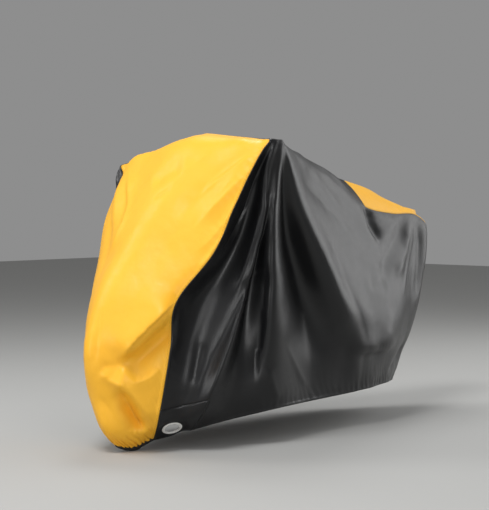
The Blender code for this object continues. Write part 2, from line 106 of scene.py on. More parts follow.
# the right side mirrors the left but for its front seam (head z, foot z, x, y at each level),
# how much lower each line hangs, how far back lines 1 to 5 lie at the shoulder, x and y of
# line 1 there
rightSeam = (1.137, .060,
             (-.058, -.072, -.126, -.203, -.285, -.388, -.420, -.424, -.418, -.368),
             (.440, .414, .396, .385, .342, .278, .230, .195, .155, .080))
rightDrop = (.095, .095, .093, .088, .080, .065, .045, .020, 0, 0, 0, 0, 0, 0)
rightBack = (.014, .013, .012, .010, .005)
rightTuck = ((-.050, .446), (-.078, .446), (-.105, .423), (-.118, .372))
evenRow, evenLines = 5, slice(2, 8)     # these lines are evened out from this row down

# fold lines of the front, left seam to right seam: share of the way round the top seam
# (0 left shoulder, 1 spine, 2 right shoulder), brow height, foot z, x and y below the head
frontLines = {
    'leftCheek': (.25, .028, -.012,
        (-.090, -.160, -.222, -.315, -.435, -.468, -.468, -.455, -.395),
        (-.335, -.325, -.305, -.265, -.205, -.175, -.150, -.105, -.045)),
    'leftBrow': (.50, .026, -.030,
        (-.080, -.172, -.255, -.370, -.505, -.560, -.540, -.515, -.425),
        (-.215, -.205, -.190, -.155, -.115, -.095, -.080, -.055, -.025)),
    'nose': (1.0, .022, -.020,
        (-.070, -.185, -.290, -.425, -.565, -.640, -.600, -.575, -.485),
        (0, 0, 0, .020, .030, .020, .010, .000, .000)),
    'rightBrow': (1.5, .034, .000,
        (-.062, -.160, -.240, -.360, -.505, -.585, -.570, -.530, -.470),
        (.225, .225, .225, .215, .160, .110, .095, .080, .045)),
    'rightCheek': (1.75, .036, .045,
        (-.064, -.140, -.225, -.322, -.440, -.505, -.500, -.478, -.420),
        (.355, .347, .330, .292, .226, .175, .150, .125, .075)),
}
bandTop = 8.82              # the front hem band starts at this level, counted down the panel

# broad folds: path, push, width on the side that cross(path, push) points to, other width
folds = (
    (((-.07, .405, 1.13), (-.17, .325, .99), (-.29, .22, .88), (-.4, .17, .76)),
     (-.016, .006, .004), .035, .075),
    (((-.09, -.42, 1.19), (-.2, -.314, 1.03), (-.29, -.229, .89)), (-.009, -.005, .004), .035, .05),
    (((-.13, -.33, 1.17), (-.23, -.22, 1.02), (-.32, -.13, .9)), (.008, .004, -.003), .04, .05),
    (((-.375, -.25, .61), (-.452, -.193, .506), (-.512, -.14, .427), (-.585, -.07, .345)),
     (-.034, -.03, 0), .1, .03),
    (((-.405, -.235, .5), (-.482, -.166, .405), (-.552, -.1, .32)), (.022, .019, 0), .04, .026),
    (((-.046, -.41, 1.02), (-.034, -.385, .9), (-.03, -.36, .79)), (-.01, -.022, 0), .03, .03),
    (((-.03, -.44, 1.2), (-.032, -.425, 1.105), (-.036, -.41, 1.024), (-.036, -.395, .898),
      (-.034, -.39, .796), (-.032, -.385, .689), (-.026, -.375, .549), (-.02, -.35, .38)),
     (-.006, -.01, 0), .03, .03),
    (((-.04, -.375, .715), (-.064, -.362, .62), (-.088, -.355, .52), (-.115, -.345, .4)),
     (.012, .024, 0), .036, .036),
    (((-.236, .077, 1.049), (-.213, -.005, 1.111), (-.186, -.077, 1.14)),
     (.01, 0, -.008), .05, .05),
    (((-.6, -.04, .262), (-.541, -.098, .232), (-.491, -.126, .162), (-.43, -.12, .075)),
     (-.013, -.009, 0), .03, .05),
    (((-.565, -.08, .185), (-.515, -.1, .13), (-.475, -.09, .05)), (.013, .01, 0), .03, .03),
    (((.93, -.155, .96), (.928, -.196, .87), (.99, -.215, .79)), (0, .024, 0), .045, .028),
    (((1.335, -.124, .905), (1.12, -.195, .775), (.86, -.295, .6)), (0, .012, 0), .035, .05),
    (((1.335, -.124, .905), (1.225, -.17, .75), (1.05, -.25, .62)), (.002, -.01, 0), .04, .045),
    (((1.4, -.11, .89), (1.415, -.125, .765), (1.4, -.13, .66), (1.35, -.14, .48)),
     (-.003, .008, 0), .035, .035),
    (((.55, -.345, .33), (.76, -.325, .318), (1.06, -.25, .321)), (0, -.02, 0), .032, .08),
    (((.74, -.31, .605), (.85, -.3, .6), (.96, -.28, .59)), (0, .005, 0), .05, .03),
    (((.82, -.3, .28), (.89, -.305, .38), (.96, -.3, .5)), (0, -.004, 0), .05, .05),
    (((.48, -.362, .48), (.54, -.34, .3), (.56, -.305, .12)), (0, .01, 0), .075, .085),
    (((1.0, -.231, .18), (1.19, -.165, .249), (1.296, -.131, .31)), (0, .01, 0), .035, .035),
    (((.18, -.388, 1.093), (.415, -.31, 1.008), (.55, -.29, .92)), (0, .009, -.003), .04, .05),
    (((.13, -.386, 1.19), (.49, -.24, 1.12), (.73, -.2, 1.03)), (0, -.006, .004), .035, .045),
    (((.06, .42, 1.08), (.22, .36, .8), (.42, .35, .45), (.46, .33, .2)), (0, -.02, 0), .06, .05),
    (((.72, .24, .98), (.62, .34, .6), (.58, .35, .28)), (0, .014, 0), .05, .06),
    (((.95, .18, .93), (.99, .24, .78), (1.1, .25, .66)), (0, -.016, 0), .04, .04),
    (((1.34, .124, .9), (1.16, .2, .7), (.9, .31, .47)), (0, .013, 0), .045, .035),
    (((.5, .35, .34), (.8, .33, .3), (1.04, .25, .33)), (0, .014, 0), .04, .07),
    (((-.12, .36, .8), (-.18, .33, .5), (-.22, .3, .22)), (0, .014, 0), .05, .05),
    (((1.1, .21, .16), (1.24, .14, .3), (1.33, .11, .46)), (0, -.009, 0), .04, .04),
)

# creases, finer than the solids' folds: the same four values
creases = (
    # front: the edge that falls from the right mirror, soft streaks from the left one
    (((-.115, .341, 1.116), (-.177, .271, 1.05), (-.251, .194, .965), (-.316, .163, .895),
      (-.357, .168, .82), (-.363, .223, .744)), (-.01, .002, .002), .008, .045),
    (((-.098, -.423, 1.181), (-.149, -.351, 1.137), (-.194, -.254, 1.061), (-.238, -.19, .996)),
     (-.006, -.002, .007), .012, .022),
    (((-.099, -.403, 1.137), (-.197, -.351, 1.036), (-.265, -.266, .928), (-.306, -.221, .859)),
     (-.008, -.003, .005), .012, .024),
    (((-.099, -.353, 1.068), (-.224, -.353, .924), (-.283, -.299, .828), (-.318, -.26, .78)),
     (-.007, -.005, .003), .01, .022),
    (((-.138, -.357, 1.000), (-.208, -.339, .879), (-.283, -.31, .772), (-.343, -.267, .689)),
     (-.007, -.006, .003), .01, .024),
    (((-.296, .005, .992), (-.276, -.033, 1.02), (-.255, -.065, 1.04)),
     (.005, .001, -.003), .006, .01),
    (((-.12, -.18, 1.19), (-.19, -.1, 1.12), (-.26, -.02, 1.03)), (-.003, -.001, .002), .012, .022),
    # front: the hanging flap, the hollow under it, and the tucks round the foot
    (((-.388, -.238, .602), (-.477, -.221, .527), (-.528, -.165, .455), (-.566, -.125, .392),
      (-.585, -.07, .342)), (-.018, -.015, 0), .05, .008),
    (((-.42, -.246, .535), (-.451, -.206, .468), (-.494, -.176, .43), (-.53, -.139, .378),
      (-.556, -.109, .342), (-.582, -.07, .334)), (.011, .009, 0), .01, .014),
    (((-.582, -.07, .338), (-.528, -.131, .27), (-.494, -.164, .289), (-.44, -.205, .335)),
     (-.014, -.011, 0), .05, .014),
    (((-.615, -.01, .305), (-.592, -.049, .269), (-.573, -.092, .255), (-.55, -.115, .25)),
     (-.01, -.007, .004), .02, .035),
    (((-.618, -.015, .325), (-.584, -.069, .33), (-.56, -.092, .3)), (.006, .005, 0), .022, .022),
    (((-.6, -.035, .265), (-.57, -.094, .247), (-.533, -.124, .21), (-.476, -.145, .13),
      (-.42, -.139, .07)), (-.011, -.009, 0), .009, .03),
    (((-.58, -.085, .245), (-.537, -.083, .191), (-.495, -.084, .126), (-.44, -.1, .05)),
     (.03, .024, 0), .02, .026),
    (((-.571, .001, .568), (-.603, -.009, .471), (-.627, -.011, .385), (-.629, -.007, .333)),
     (.006, .002, 0), .005, .012),
    (((-.6, .03, .5), (-.63, .02, .42), (-.64, .01, .34)), (-.004, .001, 0), .01, .016),
    (((-.6, .01, .22), (-.575, -.03, .15), (-.52, -.05, .06)), (.005, .002, 0), .012, .016),
    # left side: the dark channel beside the seam and the ridges that fall from the mirror
    (((-.065, -.439, 1.19), (-.08, -.366, 1.069), (-.091, -.321, .955), (-.141, -.305, .866),
      (-.207, -.294, .778), (-.251, -.258, .689)), (.006, .01, 0), .01, .01),
    (((-.06, -.444, 1.177), (-.074, -.381, 1.101), (-.078, -.331, .983), (-.104, -.295, .857),
      (-.156, -.269, .759)), (-.006, -.008, 0), .012, .02),
    (((-.062, -.44, 1.165), (-.054, -.401, 1.024), (-.07, -.367, .898), (-.09, -.342, .776),
      (-.126, -.325, .65), (-.171, -.305, .541)), (-.005, -.008, 0), .01, .014),
    # left side: the arched pocket under them, its thin left rim, and the tucks beside it
    (((-.046, -.35, .22), (-.032, -.361, .38), (-.024, -.372, .5), (-.021, -.385, .62),
      (-.023, -.39, .705), (-.034, -.38, .735), (-.05, -.365, .735)), (.016, .026, 0), .05, .01),
    (((-.06, -.358, .715), (-.095, -.348, .635), (-.128, -.343, .561), (-.174, -.335, .454),
      (-.243, -.321, .308), (-.272, -.298, .216), (-.284, -.238, .106)),
     (-.011, -.012, 0), .012, .016),
    (((-.085, -.358, .698), (-.133, -.337, .581), (-.185, -.318, .482), (-.242, -.293, .375),
      (-.282, -.281, .28), (-.305, -.24, .12)), (.007, .009, 0), .022, .022),
    (((-.159, -.255, .677), (-.225, -.233, .561), (-.285, -.222, .43), (-.327, -.223, .275),
      (-.345, -.2, .14)), (-.004, -.006, 0), .026, .028),
    (((-.262, -.245, .43), (-.285, -.243, .34), (-.31, -.242, .24)), (.005, .007, 0), .014, .016),
    (((-.366, -.229, .575), (-.385, -.23, .469), (-.402, -.218, .37)), (-.004, -.006, 0), .02, .02),
    (((-.006, -.36, .307), (.038, -.36, .22), (.093, -.352, .14)), (0, -.007, 0), .026, .03),
    # left side: the plane behind the mirror
    (((.038, -.43, 1.145), (.114, -.371, .987), (.2, -.33, .817), (.27, -.33, .66)),
     (-.004, .008, 0), .016, .02),
    (((.05, -.43, 1.17), (.15, -.39, 1.01), (.29, -.37, .8), (.43, -.365, .6), (.56, -.36, .42)),
     (0, -.003, 0), .024, .044),
    (((.1, -.4, 1.15), (.22, -.35, 1.04), (.36, -.34, .88), (.46, -.35, .74)),
     (0, .003, 0), .014, .018),
    (((.12, -.41, 1.2), (.32, -.3, 1.13), (.5, -.25, 1.05), (.66, -.24, .94)),
     (0, -.003, .001), .012, .022),
    (((.1, -.41, 1.21), (.36, -.27, 1.165), (.6, -.21, 1.1), (.8, -.18, 1.02)),
     (0, .003, -.001), .012, .018),
    (((.18, -.388, 1.093), (.415, -.304, 1.008), (.6, -.29, .9), (.72, -.3, .78)),
     (0, .003, -.001), .012, .02),
    # left side: tail
    (((.925, -.17, .955), (.925, -.205, .87), (.98, -.225, .799)), (0, .008, 0), .014, .012),
    (((1.333, -.124, .9), (1.105, -.197, .772), (.829, -.304, .579)), (0, .005, 0), .02, .03),
    (((1.319, -.128, .895), (1.215, -.173, .746), (1.036, -.252, .614)), (0, -.005, 0), .02, .028),
    (((1.35, -.12, .89), (1.3, -.155, .76), (1.19, -.2, .62), (1.07, -.24, .5)),
     (0, -.005, 0), .012, .018),
    (((1.395, -.114, .885), (1.413, -.125, .763), (1.398, -.13, .681), (1.36, -.14, .52)),
     (-.001, .003, 0), .024, .026),
    (((1.25, -.14, .915), (1.05, -.2, .84), (.93, -.25, .76)), (0, -.005, 0), .012, .016),
    (((1.2, -.145, .92), (1.03, -.185, .87), (.95, -.22, .82)), (0, .004, 0), .01, .014),
    # left side: low ledge and the tucks under it
    (((.573, -.35, .33), (.762, -.331, .318), (1.055, -.255, .321)), (0, -.006, .001), .014, .04),
    (((.6, -.34, .3), (.78, -.318, .286), (1.02, -.25, .29)), (0, .007, 0), .012, .016),
    (((.995, -.231, .179), (1.19, -.162, .249), (1.296, -.131, .308)), (0, .006, 0), .012, .014),
    (((.4, -.34, .42), (.55, -.355, .33), (.62, -.34, .22)), (0, .004, 0), .03, .03),
    (((.1, -.35, .4), (.22, -.33, .28), (.34, -.32, .16)), (0, -.005, 0), .014, .024),
    # right side, out of sight of the camera
    (((-.03, .445, 1.06), (.04, .41, .8), (.1, .38, .48)), (0, .006, 0), .012, .026),
    (((.02, .44, 1.07), (.16, .39, .86), (.33, .36, .62), (.48, .36, .4)),
     (0, .007, 0), .012, .026),
    (((.1, .4, 1.1), (.34, .3, 1.04), (.6, .28, .9)), (0, -.005, 0), .014, .02),
    (((-.1, .4, .98), (-.16, .36, .7), (-.22, .31, .42)), (-.004, .005, 0), .012, .024),
    (((1.333, .124, .9), (1.1, .2, .77), (.84, .3, .57)), (0, -.007, 0), .014, .018),
    (((1.33, .126, .89), (1.22, .175, .74), (1.05, .25, .6)), (0, .006, 0), .012, .018),
    (((.56, .35, .33), (.77, .331, .31), (1.05, .255, .32)), (0, .007, 0), .01, .036),
    (((.95, .17, .95), (.94, .21, .86), (.99, .23, .79)), (0, -.007, 0), .014, .014),
    (((.8, .31, .6), (.95, .28, .58)), (0, -.005, 0), .01, .014),
)

farOff = 9.0                # further than anything on the cover
foldValues = {
    'fade': .30, 'sharpFade': .26,   # share of a path's length over which its ends die out
    'tip': .3, 'fall': 1.3,          # how round a crease's ridge is, and how fast it falls
}


def smooth(x):
    x = np.clip(x, 0, 1)
    return x * x * (3 - 2 * x)


def between(values, places):
    # values read at places counted in them
    return np.interp(places, range(len(values)), values)


def knots(net, axis):
    # mean distance of each line, or each level, of a net from the first
    steps = np.linalg.norm(np.diff(net, axis=axis), axis=2).mean(axis=1 - axis)
    return np.concatenate([[0.0], np.cumsum(steps + 1e-6)])


def spline(points, at, where):
    # curve through points that lie `at` those distances, read at numbers counted in points
    span = np.diff(at)
    wide = (-1,) + (1,) * (points.ndim - 1)
    slope = np.diff(points, axis=0) / span.reshape(wide)
    before, after = span[:-1].reshape(wide), span[1:].reshape(wide)
    tangent = np.empty_like(points)
    tangent[1:-1] = (slope[:-1] * after + slope[1:] * before) / (before + after)
    tangent[0], tangent[-1] = slope[0], slope[-1]
    i = np.clip(np.floor(where).astype(int), 0, len(at) - 2)
    f = (where - i).reshape(wide)
    h = span[i].reshape(wide)
    return ((2 * f**3 - 3 * f**2 + 1) * points[i] + (f**3 - 2 * f**2 + f) * h * tangent[i]
            + (-2 * f**3 + 3 * f**2) * points[i + 1] + (f**3 - f**2) * h * tangent[i + 1])


def readNet(net, along, down):
    # grid of places on the smooth surface through a net of control points
    first = spline(net, knots(net, 0), along)
    return np.swapaxes(spline(np.swapaxes(first, 0, 1), knots(net, 1), down), 0, 1)


def hang(line, head, foot, xs, ys):
    # fills in a fold line below its head at the shoulder
    line[shoulderRow:, 0], line[shoulderRow:, 1] = xs, ys
    line[shoulderRow:, 2] = foot + (head - foot) * np.array(levels)


def bodyNet():
    # control points of the sides and top, from the left front seam round to the right one
    left = np.zeros((lineCount, shoulderRow + len(levels), 3))
    for i, (spineX, spineZ, *drop) in enumerate(sideLines.values()):
        hang(left[i], *drop)
        for row, share in enumerate(roofShares):
            left[i, row] = np.array((spineX, 0, spineZ)) * (1 - share) \
                + left[i, shoulderRow] * share
        left[i, 1, 2] += tailCrown if rearLine <= i < crownEnd else 0
        left[i, 2, 2] += shoulderLift if i > liftLine else 0
    right = left.copy()
    right[..., 1] *= -1
    right[:, :, 2] -= np.array(rightDrop)[:, None] * np.array(roofShares + levels)[None]
    for line, back in enumerate(rightBack, start=1):
        right[line, shoulderRow:shoulderRow + 3, 0] += back
    right[1, shoulderRow:shoulderRow + len(rightTuck), :2] = rightTuck
    hang(right[0], *rightSeam)
    drops = right[:, evenRow:]               # the right side hangs more evenly
    even = drops[1:-1] * .5 + (drops[:-2] + drops[2:]) * .25
    drops[evenLines] = even[evenLines.start - 1:evenLines.stop - 1]
    return np.concatenate([left, right[-2::-1]])


def frontNet(body):
    # control points of the front panel, which shares its outer lines with the sides
    left, right = body[0], body[-1]
    net = np.zeros((len(frontLines) + 2, len(levels), 3))
    net[0], net[-1] = left[shoulderRow:], right[shoulderRow:]
    for i, (share, brow, foot, xs, ys) in enumerate(frontLines.values(), start=1):
        if share <= 1:
            head = left[shoulderRow] * (1 - share) + left[0] * share
        else:
            head = left[0] * (2 - share) + right[shoulderRow] * (share - 1)
        net[i, 0] = head
        net[i, 1:, 0], net[i, 1:, 1] = xs, ys
        net[i, 1:, 2] = foot + (head[2] - foot) * np.array(levels[1:])
        net[i, 1, 2] += brow
    return net


def pushed(points, table, sharp=False):
    # depends on the place only, so panels stay together along a shared seam
    fadeShare = foldValues['sharpFade' if sharp else 'fade']
    tip, fall = foldValues['tip'], foldValues['fall']
    flat = points.reshape(-1, 3)
    moved = flat.copy()
    for path, push, wideA, wideB in table:
        path, push = np.array(path), np.array(push)
        length = np.linalg.norm(np.diff(path, axis=0), axis=1)
        total, run = length.sum(), 0.0
        best = np.full(len(flat), farOff)
        amount = np.zeros(len(flat))
        for a, b, size in zip(path[:-1], path[1:], length):
            t = np.clip((flat - a) @ (b - a) / size**2, 0, 1)
            away = flat - (a + t[:, None] * (b - a))
            gap = np.linalg.norm(away, axis=1)
            width = np.where(away @ np.cross(b - a, push) > 0, wideA, wideB)
            share = (run + t * size) / total
            fade = smooth(np.minimum(share, 1 - share) / fadeShare)
            if sharp:
                shape = np.exp(tip * fall - np.sqrt((gap / width)**2 + tip**2) * fall)
            else:
                shape = np.exp(-(gap / width)**2)
            near = gap < best
            amount[near] = (fade * shape)[near]
            best[near] = gap[near]
            run += size
        moved += amount[:, None] * push
    return moved.reshape(points.shape)


def folded(places):
    return pushed(pushed(places, folds), creases, sharp=True)


bodyShape = bodyNet()
frontShape = frontNet(bodyShape)


def letGo(steps, over=2):
    # 1 at an edge that has to be met exactly, down to 0 that many lines or rows away from it
    return np.clip(1 - steps / over, 0, 1)**2


def bodyPlaces(along, down):
    places = readNet(bodyShape, along, down)
    if along[-1] > tailLine:                 # the right side ends on the left side's spine
        spine = readNet(bodyShape, farLine - along[::-1], down[:1])[::-1]
        places += (spine - places[:, :1]) * letGo(down, 1)[None, :, None]
    return places


def frontPlaces(along, down):
    # the front panel's top follows the sides' top seam, and its edges follow their front seams
    places = readNet(frontShape, along, down)
    roof = np.linspace(0, shoulderRow, 61)   # fine enough to read the top seam's shape from
    edges = []
    for seam in (0.0, float(farLine)):
        edge = readNet(bodyShape, np.array([seam]), roof)[0]
        reach = np.linalg.norm(edge[:, :2] - edge[0, :2], axis=1)
        edges.append((edge[::-1], (1 - reach / reach[-1])[::-1]))
    lines = [0.0] + [line[0] for line in frontLines.values()] + [2.0]
    top = np.empty((len(along), 3))
    for k, share in enumerate(between(lines, along)):
        edge, shares = edges[0 if share <= 1 else 1]
        top[k] = [np.interp(min(share, 2 - share), shares, edge[:, c]) for c in range(3)]
    places += (top - places[:, 0])[:, None] * letGo(down)[None, :, None]
    last = len(frontShape) - 1
    for seam, line, gap in ((0.0, 0, along), (float(farLine), -1, last - along)):
        edge = readNet(bodyShape, np.array([seam]), down + shoulderRow)[0]
        places += (edge - places[line])[None] * letGo(gap)[:, None, None]
    return places


def stepsFor(at, cells, breaks, tight):
    # places of the mesh's columns or rows, counted in knots: they meet each break, lie about
    # one cell apart (one size for each stretch), and closer beside the breaks in `tight`
    spots = []
    for a, b, size in zip(breaks[:-1], breaks[1:], cells):
        lo, hi = between(at, [a, b])
        offsets = [0.0] + [d for d in tight.get(a, ()) if d < (hi - lo) / 2]
        ends = [hi - d for d in reversed(tight.get(b, ())) if d < (hi - lo) / 2] + [hi]
        start, stop = lo + offsets[-1], ends[0]
        count = max(1, round((stop - start) / size))
        spots += [lo + d for d in offsets[:-1]] + list(np.linspace(start, stop, count + 1))
        spots += ends[1:]
    return np.interp(sorted(set(np.round(spots, 7))), at, range(len(at)))


def columns(left, first, cells, marks, tight):
    # columns of one side from a fold line to the tail's end; the right side mirrors the left
    start, count = first if left else tailLine, tailLine - first
    if not left:
        cells, marks = cells[::-1], tuple(count - mark for mark in reversed(marks))
        tight = {count - mark: steps for mark, steps in tight.items()}
    at = knots(bodyShape, 0)[start:start + count + 1]
    return stepsFor(at - at[0], cells, marks, tight) + start


def lengths(places):
    # run of the cloth over its folds, along from the first column and down from the first row
    along, down = np.zeros(places.shape[:2]), np.zeros(places.shape[:2])
    along[1:] = np.cumsum(np.linalg.norm(np.diff(places, axis=0), axis=2), axis=0)
    down[:, 1:] = np.cumsum(np.linalg.norm(np.diff(places, axis=1), axis=2), axis=1)
    return along, down


def facing(places):
    out = np.cross(np.gradient(places, axis=0), np.gradient(places, axis=1))
    return out / np.maximum(np.linalg.norm(out, axis=2, keepdims=True), 1e-9)


def noiseAt(places, size, seed):
    shift = Vector((seed * 3.7, seed * 1.3, seed * 7.1))
    flat = places.reshape(-1, 3) / size
    return np.array([noise.noise(Vector(p) + shift) for p in flat]).reshape(places.shape[:2])


def seamMap(*runs):
    # each vertex's distance from the closest of these seams, and how far along that seam it is
    gap, along = runs[0]
    for away, run in runs[1:]:
        closer = away < gap
        gap, along = np.where(closer, away, gap), np.where(closer, run, along)
    return gap, along


eyeValues = {
    'holeRadius': .0335,      # cut in the cloth, under the flange
    'cutReach': 1.4, 'rimReach': 1.5, 'snapReach': 1.7,   # times the hole's radius
    'flatRadius': .046,       # the cloth lies flat this far round the eyelet,
    'holdFade': .035,         # and is let go over this
    'holdReach': .12,
    'flangeRadius': .042, 'boreRadius': .0307, 'flangeHeight': .0022, 'segments': 96,
    'lean': {'left': (-.09, .16, -.03), 'right': (0, 0, 0)},   # how the cloth turns them
}


def sheetObject(name, places, seams, keep, flip, material, thickness, hole=None):
    # one sheet of cloth from a grid of places, of the faces to keep, with an eyelet's hole
    wide, tall = places.shape[:2]
    mesh = bmesh.new()
    bmesh.ops.create_grid(mesh, x_segments=wide - 1, y_segments=tall - 1, size=.5)
    across = {v.index: (round((v.co.x + .5) * (wide - 1)), round((v.co.y + .5) * (tall - 1)))
              for v in mesh.verts}
    along, down = lengths(places)
    gap, run = seams
    cloth = mesh.loops.layers.uv.new('cloth')
    seam = mesh.loops.layers.uv.new('seams')
    gone = set()
    for face in mesh.faces:
        for loop in face.loops:
            spot = across[loop.vert.index]
            loop[cloth].uv = (along[spot], down[spot])
            loop[seam].uv = (run[spot], gap[spot])
        if not keep(*np.mean([across[v.index] for v in face.verts], axis=0)):
            gone.add(face)
    for v in mesh.verts:
        v.co = places[across[v.index]] - topPoint
    if hole:
        centre, axis = Vector(hole[0] - topPoint), Vector(hole[1])
        radius = eyeValues['holeRadius']
        for face in mesh.faces:
            out = face.calc_center_median() - centre
            flat = out - axis * out.dot(axis)
            if out.length < radius * eyeValues['cutReach'] and flat.length < radius:
                gone.add(face)
    bmesh.ops.delete(mesh, geom=list(gone), context='FACES')
    if hole:
        for v in mesh.verts:
            out = v.co - centre
            flat = out - axis * out.dot(axis)
            if v.is_boundary and flat.length < radius * eyeValues['rimReach'] \
                    and out.length < radius * eyeValues['snapReach']:
                v.co = centre + flat.normalized() * radius
    if flip:
        bmesh.ops.reverse_faces(mesh, faces=mesh.faces[:])
    piece = meshObject(name, mesh, material)
    solid = piece.modifiers.new('thickness', 'SOLIDIFY')
    solid.thickness = thickness
    solid.offset = -1
    return piece


def meshObject(name, mesh, material):
    for face in mesh.faces:
        face.smooth = True
    data = bpy.data.meshes.new(name)
    mesh.to_mesh(data)
    mesh.free()
    data.materials.append(material)
    piece = bpy.data.objects.new(name, data)
    bpy.context.scene.collection.objects.link(piece)
    return piece


def fromHex(code):
    parts = [int(code[i:i + 2], 16) / 255 for i in (1, 3, 5)]
    return tuple(c / 12.92 if c <= .04045 else ((c + .055) / 1.055)**2.4 for c in parts) + (1,)


def newMaterial(name):
    material = bpy.data.materials.new(name)
    material.use_nodes = True
    tree = material.node_tree
    return material, tree, tree.nodes['Principled BSDF']


def connect(tree, node, links):
    # links: input name or number -> a node (its first output), a socket or a plain value
    for key, value in links.items():
        if isinstance(value, bpy.types.Node):
            value = value.outputs[0]
        if isinstance(value, bpy.types.NodeSocket):
            tree.links.new(value, node.inputs[key])
        else:
            node.inputs[key].default_value = value
    return node


def addNode(tree, kind, links, **settings):
    node = tree.nodes.new('ShaderNode' + kind)
    for key, value in settings.items():
        setattr(node, key, value)
    return connect(tree, node, links)


taffetaLooks = {
    'yellow': {'light': '#F6B935', 'deep': '#F0B02C', 'thread': '#CF9A26',
               'roughness': .44, 'uneven': .06, 'specular': .30, 'crinkle': .35},
    'black': {'light': '#131315', 'deep': '#0C0D0E', 'thread': '#1E2023',
              'roughness': .36, 'uneven': .02, 'specular': .42, 'crinkle': .05},
    'toneScale': 3.2,         # patches of the light and the deep tone in a metre
    'threadPitch': .0028,     # threads are .3 mm apart; drawn at 2.8 mm to show at all
    'threadGap': .16,         # share of the pitch
    'threadDepth': .0006,
    'crinkle': .011,          # the coating crinkles in patches of about 11 mm
    'crinkleDepth': .0028,
    'stitchLength': .0075,    # 3 mm stitches, drawn longer to show
    'stitchGap': .30,         # share of the length
    'stitchRows': (.0035, .0085),
    'stitchWidth': .0007,     # to either side of the row
    'stitchDepth': .0012,
}


def coatedTaffeta(name, look):
    # PU-coated polyester taffeta, woven then coated: satin, with broad soft highlights
    # on folds, a faint grid of threads and small crinkles from having been packed
    material, tree, shader = newMaterial(name)
    looks = taffetaLooks
    place = addNode(tree, 'TexCoord', {}).outputs['Object']
    cloth = addNode(tree, 'UVMap', {}, uv_map='cloth')
    seams = addNode(tree, 'UVMap', {}, uv_map='seams')
    patches = addNode(tree, 'TexNoise', {
        'Vector': place, 'Scale': looks['toneScale'], 'Detail': 3.0, 'Roughness': .55})
    colour = addNode(tree, 'Mix', {
        'Factor': patches, 6: fromHex(look['deep']), 7: fromHex(look['light'])},
        data_type='RGBA')
    split = addNode(tree, 'SeparateXYZ', {0: seams})
    along, gap = split.outputs[0], split.outputs[1]
    dash = addNode(tree, 'Math', {0: along, 1: looks['stitchLength']}, operation='PINGPONG')
    dashOn = addNode(tree, 'Math', {0: dash, 1: looks['stitchLength'] * looks['stitchGap']},
                     operation='GREATER_THAN')
    rows = None
    for row in looks['stitchRows']:
        off = addNode(tree, 'Math', {0: gap, 1: row, 2: looks['stitchWidth']},
                      operation='COMPARE')
        rows = addNode(tree, 'Math', {0: rows, 1: off}, operation='MAXIMUM') if rows else off
    stitch = addNode(tree, 'Math', {0: rows, 1: dashOn}, operation='MULTIPLY')
    thread = addNode(tree, 'Mix', {
        'Factor': stitch, 6: colour.outputs[2], 7: fromHex(look['thread'])}, data_type='RGBA')
    weave = addNode(tree, 'TexBrick', {
        'Vector': cloth, 'Color1': (1, 1, 1, 1), 'Color2': (.75, .75, .75, 1),
        'Mortar': (0, 0, 0, 1), 'Scale': 1.0, 'Mortar Smooth': 1.0,
        'Mortar Size': looks['threadPitch'] * looks['threadGap'],
        'Brick Width': looks['threadPitch'] * 2, 'Row Height': looks['threadPitch']})
    crinkle = addNode(tree, 'TexNoise', {
        'Vector': place, 'Scale': .5 / looks['crinkle'], 'Detail': 3.0, 'Roughness': .6})
    first = addNode(tree, 'Bump', {
        'Strength': .10, 'Distance': looks['threadDepth'], 'Height': weave})
    second = addNode(tree, 'Bump', {
        'Strength': look['crinkle'], 'Distance': looks['crinkleDepth'], 'Height': crinkle,
        'Normal': first})
    third = addNode(tree, 'Bump', {
        'Strength': .6, 'Distance': looks['stitchDepth'], 'Height': stitch, 'Normal': second})
    rough = addNode(tree, 'MapRange', {
        'Value': crinkle, 'From Min': .3, 'From Max': .7,
        'To Min': look['roughness'] - look['uneven'],
        'To Max': look['roughness'] + look['uneven']})
    connect(tree, shader, {'Base Color': thread.outputs[2], 'Normal': third,
                           'Roughness': rough, 'Specular IOR Level': look['specular']})
    return material


yellowTaffeta = coatedTaffeta('Yellow coated taffeta', taffetaLooks['yellow'])
blackTaffeta = coatedTaffeta('Black coated taffeta', taffetaLooks['black'])

# 'edge' is the colour of the rib crests: a painted highlight, lighter where the ribs stand up
bindingLook = {
    'colour': '#151517', 'edge': '#26272A', 'roughness': .72, 'rib': .0042, 'ribDepth': .001,
    'bands': 3.14,            # bands in a unit length of the wave texture
}


def wovenBinding():
    # black polyester binding tape, woven in ribs and sewn over the edge: dull, fine ribs across it,
    # their crests lightened by a painted highlight
    material, tree, shader = newMaterial('Black woven binding')
    cloth = addNode(tree, 'UVMap', {}, uv_map='cloth')
    rib = addNode(tree, 'TexWave', {
        'Vector': cloth, 'Distortion': 1.5, 'Detail': 1.0,
        'Scale': 1 / bindingLook['rib'] / bindingLook['bands']}, bands_direction='X')
    height = rib.outputs[1]
    # painted highlight: the colour goes from the tape's own black to the lighter 'edge' tone toward
    # each rib's crest
    colour = addNode(tree, 'Mix', {
        'Factor': height, 6: fromHex(bindingLook['colour']), 7: fromHex(bindingLook['edge'])},
        data_type='RGBA')
    bump = addNode(tree, 'Bump', {
        'Strength': .5, 'Distance': bindingLook['ribDepth'], 'Height': height})
    connect(tree, shader, {'Base Color': colour.outputs[2], 'Normal': bump,
                           'Roughness': bindingLook['roughness']})
    return material


blackBinding = wovenBinding()

eyeletLook = {'colour': '#EFEFEC', 'metallic': .30, 'roughness': .38, 'uneven': .16,
              'scuff': .0036, 'scuffDepth': .0003}


